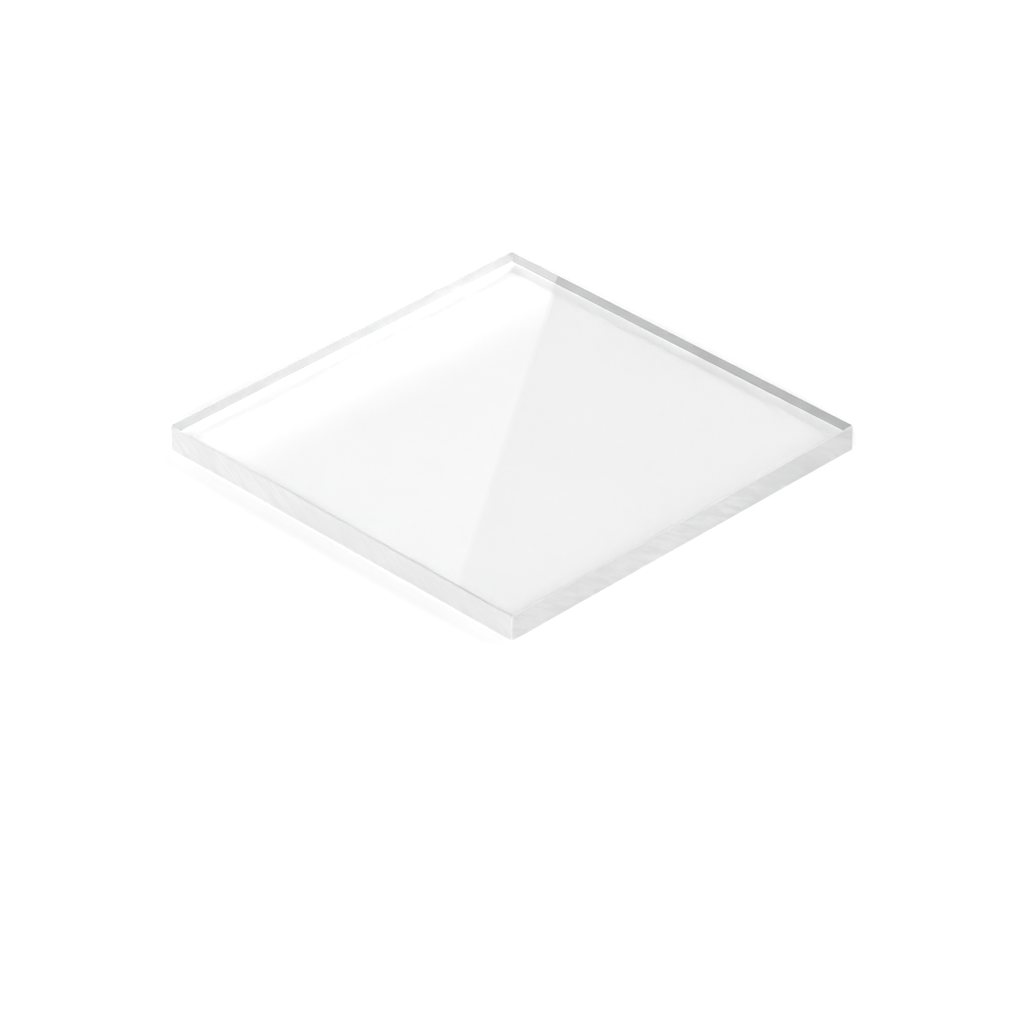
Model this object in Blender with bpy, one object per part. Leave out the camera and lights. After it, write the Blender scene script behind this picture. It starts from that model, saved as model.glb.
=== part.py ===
"""Clear acrylic sheet: one square cut from a cast board, with sawn edges and scraped corners.

Run with blender --background --python part.py, or from Blender's text editor.
Metres, +Z up. The origin is the centre of the face that the sheet lies on.
"""

import bmesh
import bpy
from mathutils import Matrix

# The cut size. Both sides are sawn from a larger board, so each can be any length.
SHEET_LENGTH = 0.100
SHEET_WIDTH = 0.100

# The gauge in which the board was cast.
SHEET_THICKNESS = 0.006

# A scraper takes the saw's burr off. It leaves a flat this wide along the rims of both
# polished faces, and a wider one down the four upright corners.
RIM_CHAMFER = 0.00020
CORNER_CHAMFER = 0.00030

# Clear cast acrylic: colourless, polished on its two faces, and it bends light less than glass.
ACRYLIC_COLOUR = (0.94, 0.95, 0.95, 1.0)
ACRYLIC_ROUGHNESS = 0.05
ACRYLIC_IOR = 1.49


def clear_scene():
    """Removes whatever the file held before."""
    for found in list(bpy.data.objects):
        bpy.data.objects.remove(found, do_unlink=True)


def acrylic_material():
    """A clear plastic with a polished face."""
    material = bpy.data.materials.new("clear_acrylic")
    material.use_nodes = True
    shader = material.node_tree.nodes["Principled BSDF"]
    shader.inputs["Base Color"].default_value = ACRYLIC_COLOUR
    shader.inputs["Metallic"].default_value = 0.0
    shader.inputs["Roughness"].default_value = ACRYLIC_ROUGHNESS
    shader.inputs["IOR"].default_value = ACRYLIC_IOR
    shader.inputs["Transmission Weight"].default_value = 1.0
    return material


def cut_outline(blank):
    """The sheet's lower face: its cut size, with the four corners scraped off."""
    bmesh.ops.create_grid(
        blank,
        x_segments=1,
        y_segments=1,
        size=0.5,
        matrix=Matrix.Diagonal((SHEET_LENGTH, SHEET_WIDTH, 1.0, 1.0)),
    )
    bmesh.ops.bevel(
        blank,
        geom=blank.verts[:],
        offset=CORNER_CHAMFER,
        offset_type="WIDTH",
        segments=1,
        affect="VERTICES",
    )


def draw_up_to_gauge(blank):
    """Gives the outline its thickness, and returns the two polished faces."""
    lower_face = blank.faces[:]
    drawn = bmesh.ops.extrude_face_region(blank, geom=lower_face)["geom"]
    upper_face = [item for item in drawn if isinstance(item, bmesh.types.BMFace)]
    upper_corners = [item for item in drawn if isinstance(item, bmesh.types.BMVert)]
    bmesh.ops.translate(blank, verts=upper_corners, vec=(0.0, 0.0, SHEET_THICKNESS))
    bmesh.ops.recalc_face_normals(blank, faces=blank.faces[:])
    return lower_face + upper_face


def scrape_rims(blank, polished_faces):
    """Cuts the narrow flat between each polished face and the sawn edges round it."""
    rims = [edge for face in polished_faces for edge in face.edges]
    bmesh.ops.bevel(
        blank,
        geom=rims,
        offset=RIM_CHAMFER,
        offset_type="WIDTH",
        segments=1,
        affect="EDGES",
    )


def sheet_mesh():
    """One solid: the outline, its thickness, then the scraped rims."""
    blank = bmesh.new()
    cut_outline(blank)
    polished_faces = draw_up_to_gauge(blank)
    scrape_rims(blank, polished_faces)
    mesh = bpy.data.meshes.new("acrylic_sheet")
    blank.to_mesh(mesh)
    blank.free()
    return mesh


def build():
    """Puts the sheet flat on the ground, its lower polished face at height zero."""
    clear_scene()
    mesh = sheet_mesh()
    mesh.materials.append(acrylic_material())
    mesh.shade_flat()
    sheet = bpy.data.objects.new("acrylic_sheet", mesh)
    bpy.context.scene.collection.objects.link(sheet)


build()
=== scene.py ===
# A square of clear cast acrylic, sawn from a larger board and lying flat on a pale studio floor.
# Metres, +Z up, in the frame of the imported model: the sheet's lower face is at height zero.

import math
import random

import bmesh
import bpy
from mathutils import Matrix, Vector


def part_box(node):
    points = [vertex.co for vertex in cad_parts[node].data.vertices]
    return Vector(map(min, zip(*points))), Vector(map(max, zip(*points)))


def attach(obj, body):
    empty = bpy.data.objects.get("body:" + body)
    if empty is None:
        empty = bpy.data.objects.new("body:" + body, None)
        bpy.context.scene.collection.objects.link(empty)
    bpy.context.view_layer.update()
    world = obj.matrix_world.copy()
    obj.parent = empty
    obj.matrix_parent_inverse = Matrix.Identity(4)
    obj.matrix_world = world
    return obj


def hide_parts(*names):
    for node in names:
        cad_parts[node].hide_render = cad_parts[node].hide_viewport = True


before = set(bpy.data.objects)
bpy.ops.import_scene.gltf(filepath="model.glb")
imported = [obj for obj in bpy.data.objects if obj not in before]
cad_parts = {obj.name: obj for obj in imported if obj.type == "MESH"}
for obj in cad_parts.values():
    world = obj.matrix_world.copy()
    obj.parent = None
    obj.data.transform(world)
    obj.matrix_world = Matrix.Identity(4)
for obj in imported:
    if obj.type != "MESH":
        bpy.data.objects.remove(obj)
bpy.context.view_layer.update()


# The sheet. One square sawn from a board of clear acrylic, which was cast between two panes of
# polished glass. The saw left its arcs on the four edges, and a scraper took the burr off.

SHEET_LOW, SHEET_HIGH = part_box("acrylic_sheet")
SHEET_LENGTH, SHEET_WIDTH, SHEET_THICKNESS = SHEET_HIGH - SHEET_LOW

# The scraper's flats, measured across: along the rims, and down the upright corners. A rim turns
# half a right angle where it meets a corner's flat, so the two share a mitre there.
RIM_FLAT = 0.00020
CORNER_FLAT = 0.00030
RIM_CUT = RIM_FLAT / math.sqrt(2)
CORNER_CUT = CORNER_FLAT / math.sqrt(2)
HALF_OF_TURN = math.radians(22.5)
RIM_MITRE = RIM_CUT * math.tan(HALF_OF_TURN)

# The saw. Its blade's centre passes below the sheet, so each tooth comes up through the edge on
# a slant and leaves an arc there.
BLADE_RADIUS = 0.125
BLADE_DROP = 0.098
DEEPEST_MARK = 0.000036

# What makes a mark deep or shallow. The blade sways, its teeth differ and grit scratches. Each
# changes over so many millimetres of feed, and so does how hard the blade bites.
MILLIMETRES = 1000.0
SWAY_RUN = 2.1
TOOTH_RUN = 0.8
GRIT_RUN = 0.42
BITE_RUN = 9.0

# The share of the deepest mark that is there everywhere, and the shares that come and go.
EVEN_SHARE = 0.5
SWAY_SHARE = 0.27
TOOTH_SHARE = 0.17
GRIT_SHARE = 0.06

# Where each of these starts in the random numbers, after the number of the cut.
TOOTH_SEED = 10
GRIT_SEED = 20
BITE_SEED = 40
SEED_STRIDE = 7919

# How closely the edges are drawn, how soon the marks fade at a corner, and the turn between two
# faces that keeps a crisp line.
MARK_STEP = 0.00022
MARK_ROWS = 18
CORNER_STEPS = 4
CRISP_TURN = math.radians(25.0)


def wander(seed, place):
    """A smooth random walk between -1 and 1, which takes a new value at each whole number."""
    step = math.floor(place)
    share = place - step
    share = share * share * (3.0 - 2.0 * share)
    before = random.Random(seed * SEED_STRIDE + step).uniform(-1.0, 1.0)
    after = random.Random(seed * SEED_STRIDE + step + 1).uniform(-1.0, 1.0)
    return before + (after - before) * share


def tooth_reach(height):
    """How far to the side a tooth is from the blade's centre, at a height above the floor."""
    return math.sqrt(BLADE_RADIUS**2 - (BLADE_DROP + height) ** 2)


def saw_groove(cut, along, height):
    """How deep the saw went below the edge's flat, in metres."""
    feed = MILLIMETRES * (along + tooth_reach(0.0) - tooth_reach(height))
    bite = 0.5 + 0.5 * wander(cut + BITE_SEED, feed / BITE_RUN)
    sway = wander(cut, feed / SWAY_RUN)
    teeth = bite * wander(cut + TOOTH_SEED, feed / TOOTH_RUN)
    grit = bite * wander(cut + GRIT_SEED, feed / GRIT_RUN)
    return DEEPEST_MARK * (EVEN_SHARE + SWAY_SHARE * sway + TOOTH_SHARE * teeth + GRIT_SHARE * grit)


class SawnEdge:
    """One of the four edges: where it starts, which way it runs and which way it faces."""

    def __init__(self, name, cut, start, along, outward, length):
        self.name = name
        self.cut = cut
        self.start = Vector(start)
        self.along = Vector(along)
        self.outward = Vector(outward)
        self.length = length
        self.columns = round(length / MARK_STEP)

    def point(self, column, height, at_rim):
        """A point of the edge's flat, or of the straight line where its rim meets a face."""
        margin = CORNER_CUT + (RIM_MITRE if at_rim else 0.0)
        along = margin + (self.length - 2.0 * margin) * column / self.columns
        if at_rim:
            depth = RIM_CUT
        else:
            steps_to_corner = min(column, self.columns - column)
            depth = saw_groove(self.cut, along, height) * min(1.0, steps_to_corner / CORNER_STEPS)
        return self.start + self.along * along - self.outward * depth + Vector((0.0, 0.0, height))


LEFT, RIGHT = SHEET_LOW.x, SHEET_HIGH.x
NEAR, FAR = SHEET_LOW.y, SHEET_HIGH.y
EDGES = [
    SawnEdge("edge_x_plus", 1, (RIGHT, NEAR, 0.0), (0, 1, 0), (1, 0, 0), SHEET_WIDTH),
    SawnEdge("edge_y_plus", 2, (RIGHT, FAR, 0.0), (-1, 0, 0), (0, 1, 0), SHEET_LENGTH),
    SawnEdge("edge_x_minus", 3, (LEFT, FAR, 0.0), (0, -1, 0), (-1, 0, 0), SHEET_WIDTH),
    SawnEdge("edge_y_minus", 4, (LEFT, NEAR, 0.0), (1, 0, 0), (0, -1, 0), SHEET_LENGTH),
]
FACE_SLOT = 0
RIM_SLOT = 1
FIRST_EDGE_SLOT = 2


def rim_heights():
    """The heights of the rings, from the lower face to the upper one."""
    flat = SHEET_THICKNESS - 2.0 * RIM_CUT
    rows = [RIM_CUT + flat * row / MARK_ROWS for row in range(MARK_ROWS + 1)]
    return [0.0] + rows + [SHEET_THICKNESS]


def sheet_mesh():
    """The solid: a stack of rings round the four edges, closed by the two polished faces."""
    solid = bmesh.new()
    heights = rim_heights()
    last = len(heights) - 1
    rings = []
    for row, height in enumerate(heights):
        at_rim = row in (0, last)
        ring = []
        for number, edge in enumerate(EDGES):
            for column in range(edge.columns + 1):
                ring.append((solid.verts.new(edge.point(column, height, at_rim)), number, column))
        rings.append(ring)
    for row in range(last):
        lower, upper = rings[row], rings[row + 1]
        on_rim = row in (0, last - 1)
        for place, (vertex, number, column) in enumerate(lower):
            following = (place + 1) % len(lower)
            corners = (vertex, lower[following][0], upper[following][0], upper[place][0])
            wall = solid.faces.new(corners)
            at_corner = column == EDGES[number].columns
            wall.material_index = RIM_SLOT if on_rim or at_corner else FIRST_EDGE_SLOT + number
            wall.smooth = True
    for ring in (reversed(rings[0]), rings[-1]):
        cast_face = solid.faces.new([vertex for vertex, number, column in ring])
        cast_face.material_index = FACE_SLOT
    mesh = bpy.data.meshes.new("clear_sheet")
    solid.to_mesh(mesh)
    solid.free()
    mesh.set_sharp_from_angle(angle=CRISP_TURN)
    return mesh


# How acrylic takes light, the same in every finish below: it bends light less than glass does.
ACRYLIC_IOR = 1.49


def acrylic_finish(name):
    """A material of clear acrylic, its shader, and its nodes and links."""
    material = bpy.data.materials.new(name)
    material.use_nodes = True
    nodes = material.node_tree.nodes
    links = material.node_tree.links
    shader = nodes["Principled BSDF"]
    shader.inputs["IOR"].default_value = ACRYLIC_IOR
    return material, shader, nodes, links


def reckon(nodes, links, operation, first, second=0.0):
    """The result of a sum on two values, each a number or another node's output."""
    step = nodes.new("ShaderNodeMath")
    step.operation = operation
    for socket, value in zip(step.inputs, (first, second)):
        if isinstance(value, bpy.types.NodeSocket):
            links.new(value, socket)
        else:
            socket.default_value = value
    return step.outputs["Value"]


def mottle(nodes, links, place, spot, detail):
    """A soft random pattern from 0 to 1, whose spots are about one spot wide."""
    noise = nodes.new("ShaderNodeTexNoise")
    noise.inputs["Scale"].default_value = 1.0 / spot
    noise.inputs["Detail"].default_value = detail
    links.new(place, noise.inputs["Vector"])
    return noise.outputs["Fac"]


def spread(nodes, links, value, low, high, start, end):
    """Turns the stretch of a value between low and high into one between start and end."""
    stretch = nodes.new("ShaderNodeMapRange")
    stretch.inputs["From Min"].default_value = low
    stretch.inputs["From Max"].default_value = high
    stretch.inputs["To Min"].default_value = start
    stretch.inputs["To Max"].default_value = end
    links.new(value, stretch.inputs["Value"])
    return stretch.outputs["Result"]


def grey_between(nodes, links, value, dark, light):
    """A grey that goes from dark to light as the value goes from 0 to 1."""
    ramp = nodes.new("ShaderNodeValToRGB")
    ramp.color_ramp.elements[0].color = (dark, dark, dark, 1.0)
    ramp.color_ramp.elements[1].color = (light, light, light, 1.0)
    links.new(value, ramp.inputs["Fac"])
    return ramp.outputs["Color"]


def roughen(nodes, links, shader, height, depth):
    """Gives the surface the small relief of a height from 0 to 1, this deep in metres."""
    relief = nodes.new("ShaderNodeBump")
    relief.inputs["Distance"].default_value = depth
    links.new(height, relief.inputs["Height"])
    links.new(relief.outputs["Normal"], shader.inputs["Normal"])


# The cast faces copy the polished glass that they set against, which is a hair out of flat.
CAST_SWELL = 0.018
CAST_SWELL_DEPTH = 0.000002


def polished_face():
    """The finish of the two cast faces."""
    material, shader, nodes, links = acrylic_finish("polished_face")
    shader.inputs["Base Color"].default_value = (1.0, 1.0, 1.0, 1.0)
    shader.inputs["Roughness"].default_value = 0.0
    shader.inputs["Transmission Weight"].default_value = 1.0
    place = nodes.new("ShaderNodeTexCoord").outputs["Object"]
    swell = mottle(nodes, links, place, CAST_SWELL, detail=0.0)
    roughen(nodes, links, shader, swell, CAST_SWELL_DEPTH)
    return material


# The scraper skips as it is drawn along a rim, and leaves a ripple across its narrow flat. Where
# it drags, the ripple falls out of step, by this many radians at most.
SCRAPER_SKIP = 0.00035
SCRAPER_TEAR = 0.0012
SCRAPER_DEPTH = 0.000012
SCRAPER_DRAG = 9.0
RIM_CLEARNESS = 0.70
RIM_GREY = 0.92
RIM_SMOOTH = 0.45
RIM_ROUGH = 0.65


def scraped_rim():
    """The finish of the rims and corners, chalky because the scraper tears as much as it cuts."""
    material, shader, nodes, links = acrylic_finish("scraped_rim")
    shader.inputs["Transmission Weight"].default_value = RIM_CLEARNESS
    place = nodes.new("ShaderNodeTexCoord").outputs["Object"]
    axes = nodes.new("ShaderNodeSeparateXYZ")
    links.new(place, axes.inputs["Vector"])
    across = reckon(nodes, links, "ADD", axes.outputs["X"], axes.outputs["Y"])
    drawn = reckon(nodes, links, "ADD", across, axes.outputs["Z"])
    tear = mottle(nodes, links, place, SCRAPER_TEAR, detail=3.0)
    turns = reckon(nodes, links, "MULTIPLY", drawn, 2.0 * math.pi / SCRAPER_SKIP)
    unsteady = reckon(nodes, links, "MULTIPLY", tear, SCRAPER_DRAG)
    ripple = reckon(nodes, links, "SINE", reckon(nodes, links, "ADD", turns, unsteady))
    skip = spread(nodes, links, ripple, -1.0, 1.0, 0.0, 1.0)
    links.new(grey_between(nodes, links, tear, RIM_GREY, 1.0), shader.inputs["Base Color"])
    rough = spread(nodes, links, skip, 0.0, 1.0, RIM_SMOOTH, RIM_ROUGH)
    links.new(rough, shader.inputs["Roughness"])
    roughen(nodes, links, shader, skip, SCRAPER_DEPTH)
    return material


# What shows on a sawn edge: frosted streaks that follow the saw's arcs, gathered in patches, and
# fine lines of grit along them.
STREAK_WIDTH = 0.0017
STREAK_HEIGHT = 0.0042
PATCH_WIDTH = 0.016
PATCH_HEIGHT = 0.010
GRIT_WIDTH = 0.00024
GRIT_HEIGHT = 0.0014
CUT_APART = 17.3

# Of a pattern from 0 to 1: where a streak begins and is full, where a patch does, and what is
# left of the streaks between patches.
STREAK_BEGINS = 0.40
STREAK_FULL = 0.62
PATCH_BEGINS = 0.38
PATCH_FULL = 0.60
BETWEEN_PATCHES = 0.25


def saw_marks_group():
    """The saw's traces on an edge, by the place along it, the height and which cut it was."""
    group = bpy.data.node_groups.new("saw_marks", "ShaderNodeTree")
    for name in ("Along", "Height", "Cut"):
        group.interface.new_socket(name, in_out="INPUT", socket_type="NodeSocketFloat")
    for name in ("Frost", "Grit"):
        group.interface.new_socket(name, in_out="OUTPUT", socket_type="NodeSocketFloat")
    nodes, links = group.nodes, group.links
    given = nodes.new("NodeGroupInput").outputs
    traces = nodes.new("NodeGroupOutput").inputs

    below = reckon(nodes, links, "ADD", given["Height"], BLADE_DROP)
    square = reckon(nodes, links, "MULTIPLY", below, below)
    rest = reckon(nodes, links, "SUBTRACT", BLADE_RADIUS**2, square)
    reach = reckon(nodes, links, "SQRT", rest)
    feed = reckon(nodes, links, "SUBTRACT", given["Along"], reach)

    def along_arcs(run, width, height, detail):
        """A random pattern of spots this wide and high, other for each cut."""
        place = nodes.new("ShaderNodeCombineXYZ")
        across = reckon(nodes, links, "DIVIDE", run, width)
        upward = reckon(nodes, links, "DIVIDE", given["Height"], height)
        links.new(across, place.inputs["X"])
        links.new(upward, place.inputs["Y"])
        links.new(reckon(nodes, links, "MULTIPLY", given["Cut"], CUT_APART), place.inputs["Z"])
        return mottle(nodes, links, place.outputs["Vector"], 1.0, detail)

    streak = along_arcs(feed, STREAK_WIDTH, STREAK_HEIGHT, detail=3.0)
    patch = along_arcs(given["Along"], PATCH_WIDTH, PATCH_HEIGHT, detail=1.0)
    grit = along_arcs(feed, GRIT_WIDTH, GRIT_HEIGHT, detail=2.0)
    bright = spread(nodes, links, streak, STREAK_BEGINS, STREAK_FULL, 0.0, 1.0)
    gathered = spread(nodes, links, patch, PATCH_BEGINS, PATCH_FULL, BETWEEN_PATCHES, 1.0)
    links.new(reckon(nodes, links, "MULTIPLY", bright, gathered), traces["Frost"])
    links.new(grit, traces["Grit"])
    return group


SAW_MARKS = saw_marks_group()
CLEAN_ROUGHNESS = 0.40
FROSTED_ROUGHNESS = 0.55
GRIT_DEPTH = 0.000006

# How clear each cut came out, and its grey where it is clean and where it is frosted. The cuts
# share one finish, and their greys differ from cut to cut only as painted light and shade: the
# second's dark grey is painted shade. The fourth is the most torn.
CLEARNESS = {"edge_x_plus": 0.95, "edge_y_plus": 0.80, "edge_x_minus": 0.85, "edge_y_minus": 0.15}
CLEAN_GREY_AND_PAINTED_SHADE = {"edge_x_plus": 0.80, "edge_y_plus": 0.42, "edge_x_minus": 0.88, "edge_y_minus": 0.63}
FROSTED_GREY_AND_PAINTED_SHADE = {"edge_x_plus": 1.0, "edge_y_plus": 0.48, "edge_x_minus": 1.0, "edge_y_minus": 0.69}


def sawn_finish(edge):
    """The finish of one sawn edge, whose grey holds its painted share of light and shade."""
    material, shader, nodes, links = acrylic_finish("sawn_" + edge.name)
    shader.inputs["Transmission Weight"].default_value = CLEARNESS[edge.name]
    place = nodes.new("ShaderNodeTexCoord").outputs["Object"]
    along = nodes.new("ShaderNodeVectorMath")
    along.operation = "DOT_PRODUCT"
    along.inputs[1].default_value = edge.along
    axes = nodes.new("ShaderNodeSeparateXYZ")
    traces = nodes.new("ShaderNodeGroup")
    traces.node_tree = SAW_MARKS
    traces.inputs["Cut"].default_value = edge.cut
    links.new(place, along.inputs[0])
    links.new(place, axes.inputs["Vector"])
    links.new(along.outputs["Value"], traces.inputs["Along"])
    links.new(axes.outputs["Z"], traces.inputs["Height"])
    frost = traces.outputs["Frost"]
    # The grey goes lighter along the frosted streaks, and its level for each cut is painted shade.
    clean_grey_and_shade, frosted_grey_and_shade = CLEAN_GREY_AND_PAINTED_SHADE[edge.name], FROSTED_GREY_AND_PAINTED_SHADE[edge.name]
    grey = grey_between(nodes, links, frost, clean_grey_and_shade, frosted_grey_and_shade)
    rough = spread(nodes, links, frost, 0.0, 1.0, CLEAN_ROUGHNESS, FROSTED_ROUGHNESS)
    links.new(grey, shader.inputs["Base Color"])
    links.new(rough, shader.inputs["Roughness"])
    roughen(nodes, links, shader, traces.outputs["Grit"], GRIT_DEPTH)
    return material


clear_sheet = bpy.data.objects.new("clear_sheet", sheet_mesh())
bpy.context.scene.collection.objects.link(clear_sheet)
clear_sheet.data.materials.append(polished_face())
clear_sheet.data.materials.append(scraped_rim())
for edge in EDGES:
    clear_sheet.data.materials.append(sawn_finish(edge))
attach(clear_sheet, "root")
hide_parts("acrylic_sheet")


# The studio floor: a matt white sweep that the sheet lies on. It stops just under the sheet,
# because a hair of air stays between a hard sheet and a hard floor.

FLOOR_GAP = 0.0002
FLOOR_REACH = 4.0
FLOOR_DULL = 0.885
FLOOR_WHITE = 0.915
FLOOR_MOTTLE = 0.04
FLOOR_ROUGHNESS = 0.9

floor_plane = bmesh.new()
bmesh.ops.create_grid(floor_plane, x_segments=1, y_segments=1, size=FLOOR_REACH)
floor_mesh = bpy.data.meshes.new("studio_floor")
floor_plane.to_mesh(floor_mesh)
floor_plane.free()
studio_floor = bpy.data.objects.new("studio_floor", floor_mesh)
studio_floor.location.z = -FLOOR_GAP
bpy.context.scene.collection.objects.link(studio_floor)
floor_paint = bpy.data.materials.new("floor_paint")
floor_paint.use_nodes = True
floor_nodes = floor_paint.node_tree.nodes
floor_links = floor_paint.node_tree.links
floor_shader = floor_nodes["Principled BSDF"]
floor_place = floor_nodes.new("ShaderNodeTexCoord").outputs["Object"]
floor_coat = mottle(floor_nodes, floor_links, floor_place, FLOOR_MOTTLE, detail=2.0)
floor_tone = grey_between(floor_nodes, floor_links, floor_coat, FLOOR_DULL, FLOOR_WHITE)
floor_links.new(floor_tone, floor_shader.inputs["Base Color"])
floor_shader.inputs["Roughness"].default_value = FLOOR_ROUGHNESS
floor_shader.inputs["Specular IOR Level"].default_value = 0.0
floor_mesh.materials.append(floor_paint)


# The studio's light: soft boxes round the sheet, named by where they stand in the picture. None
# of them shows itself to the camera, and the faces are kept clear of their glare.

CAMERA_TURN = math.radians(45.0)
TO_CAMERA = Vector((math.sin(CAMERA_TURN), -math.cos(CAMERA_TURN), 0.0))
TO_RIGHT = Vector((math.cos(CAMERA_TURN), math.sin(CAMERA_TURN), 0.0))
UP = Vector((0.0, 0.0, 1.0))
SOFT_BOX_AWAY = 2.0


def soft_box(name, turn, shape, watts):
    """A soft box at a turn clockwise from the picture's back, aimed at the sheet.

    Its shape is how high it stands, as an angle, and its width and height.
    """
    lift, width, height = shape
    side = -TO_CAMERA * math.cos(math.radians(turn)) + TO_RIGHT * math.sin(math.radians(turn))
    rise = math.radians(lift)
    place = SOFT_BOX_AWAY * (side * math.cos(rise) + UP * math.sin(rise))
    lamp = bpy.data.lights.new(name, "AREA")
    lamp.shape = "RECTANGLE"
    lamp.size = width
    lamp.size_y = height
    lamp.energy = watts
    box = bpy.data.objects.new(name, lamp)
    box.location = place
    box.rotation_euler = (-place).to_track_quat("-Z", "Y").to_euler()
    box.visible_camera = False
    box.visible_glossy = False
    bpy.context.scene.collection.objects.link(box)


LOW_STRIP = (8.0, 1.5, 0.55)
MIDDLE_STRIP = (25.0, 1.5, 0.66)
HIGH_BOX = (48.0, 1.2, 0.80)
OVERHEAD_BOX = (89.0, 1.5, 1.5)

soft_box("right_back_low_strip", 45.0, LOW_STRIP, 8.5)
soft_box("right_back_high_box", 45.0, HIGH_BOX, 12.9)
soft_box("right_strip", 90.0, MIDDLE_STRIP, 7.5)
soft_box("right_front_low_strip", 135.0, LOW_STRIP, 26.0)
soft_box("front_low_strip", 180.0, LOW_STRIP, 12.3)
soft_box("front_strip", 180.0, MIDDLE_STRIP, 21.4)
soft_box("left_front_high_box", 225.0, HIGH_BOX, 6.5)
soft_box("left_strip", 270.0, MIDDLE_STRIP, 4.5)
soft_box("left_back_low_strip", 315.0, LOW_STRIP, 28.0)
soft_box("left_back_strip", 315.0, MIDDLE_STRIP, 16.0)
soft_box("overhead_box", 0.0, OVERHEAD_BOX, 5.0)

# The studio's walls: dim in what they add to the light, and pale where the camera sees them.
WALL_LIGHT = 0.10
WALL_SEEN = 1.0

studio_air = bpy.data.worlds.new("studio_air")
studio_air.use_nodes = True
air_nodes = studio_air.node_tree.nodes
air_links = studio_air.node_tree.links
seen = air_nodes.new("ShaderNodeLightPath").outputs["Is Camera Ray"]
wall = spread(air_nodes, air_links, seen, 0.0, 1.0, WALL_LIGHT, WALL_SEEN)
air_nodes["Background"].inputs["Color"].default_value = (1.0, 1.0, 1.0, 1.0)
air_links.new(wall, air_nodes["Background"].inputs["Strength"])
bpy.context.scene.world = studio_air

# Behind the sheet hangs a card of light, which the upper face mirrors. Its right side leans, and
# so a straight line crosses the face, bright on its left. It hangs askew, and it is brightest
# along its lower side, which rises to the left.
CARD_AWAY = 1.0
CARD_LOW = 0.45
CARD_HIGH = 0.76
CARD_LEFT = -0.30
CARD_RIGHT_LOW = 0.0501
CARD_RIGHT_HIGH = -0.0356
CARD_SLOPE = 0.59
CARD_BRIGHT_AT = 0.560
CARD_DIM_AT = 0.602
CARD_LIGHT = 1.60
CARD_DIM = 0.40


def card_point(side, height):
    """A point of the card, by its distance to the right and its height."""
    return -TO_CAMERA * CARD_AWAY + TO_RIGHT * side + UP * height


card_outline = bmesh.new()
card_outline.faces.new(
    [
        card_outline.verts.new(card_point(CARD_LEFT, CARD_LOW)),
        card_outline.verts.new(card_point(CARD_RIGHT_LOW, CARD_LOW)),
        card_outline.verts.new(card_point(CARD_RIGHT_HIGH, CARD_HIGH)),
        card_outline.verts.new(card_point(CARD_LEFT, CARD_HIGH)),
    ]
)
card_mesh = bpy.data.meshes.new("light_card")
card_outline.to_mesh(card_mesh)
card_outline.free()
light_card = bpy.data.objects.new("light_card", card_mesh)
bpy.context.scene.collection.objects.link(light_card)
light_card.visible_camera = False
card_glow = bpy.data.materials.new("card_glow")
card_glow.use_nodes = True
card_nodes = card_glow.node_tree.nodes
card_links = card_glow.node_tree.links
card_nodes.clear()
card_place = card_nodes.new("ShaderNodeTexCoord")
card_rise = card_nodes.new("ShaderNodeVectorMath")
card_rise.operation = "DOT_PRODUCT"
card_rise.inputs[1].default_value = UP + TO_RIGHT * CARD_SLOPE
card_fade = card_nodes.new("ShaderNodeMapRange")
card_fade.interpolation_type = "SMOOTHSTEP"
card_fade.inputs["From Min"].default_value = CARD_BRIGHT_AT
card_fade.inputs["From Max"].default_value = CARD_DIM_AT
card_fade.inputs["To Min"].default_value = CARD_LIGHT
card_fade.inputs["To Max"].default_value = CARD_DIM
card_lamp = card_nodes.new("ShaderNodeEmission")
card_output = card_nodes.new("ShaderNodeOutputMaterial")
card_links.new(card_place.outputs["Object"], card_rise.inputs[0])
card_links.new(card_rise.outputs["Value"], card_fade.inputs["Value"])
card_links.new(card_fade.outputs["Result"], card_lamp.inputs["Strength"])
card_links.new(card_lamp.outputs["Emission"], card_output.inputs["Surface"])
card_mesh.materials.append(card_glow)


# The camera: a long lens that looks down on the sheet across its near corner. Its place and its
# lens were fitted to the sheet's corners in the picture.

CAMERA_LIFT = math.radians(33.066)
CAMERA_AWAY = 1.2007
CAMERA_AIM = TO_CAMERA * 0.0237
LENS = 206.6
NEAREST_SEEN = 0.01
FARTHEST_SEEN = 20.0

toward_camera = TO_CAMERA * math.cos(CAMERA_LIFT) + UP * math.sin(CAMERA_LIFT)
lens = bpy.data.cameras.new("picture_camera")
lens.lens = LENS
lens.clip_start = NEAREST_SEEN
lens.clip_end = FARTHEST_SEEN
picture_camera = bpy.data.objects.new("picture_camera", lens)
picture_camera.location = CAMERA_AIM + toward_camera * CAMERA_AWAY
picture_camera.rotation_euler = (-toward_camera).to_track_quat("-Z", "Y").to_euler()
bpy.context.scene.collection.objects.link(picture_camera)
bpy.context.scene.camera = picture_camera

# White stays white, and the light that the sheet bends and mirrors is followed this many times.
MOST_BENDS = 24
MOST_MIRRORINGS = 16

bpy.context.scene.view_settings.view_transform = "Standard"
bpy.context.scene.cycles.max_bounces = MOST_BENDS
bpy.context.scene.cycles.transmission_bounces = MOST_BENDS
bpy.context.scene.cycles.glossy_bounces = MOST_MIRRORINGS
bpy.context.scene.cycles.blur_glossy = 0.0
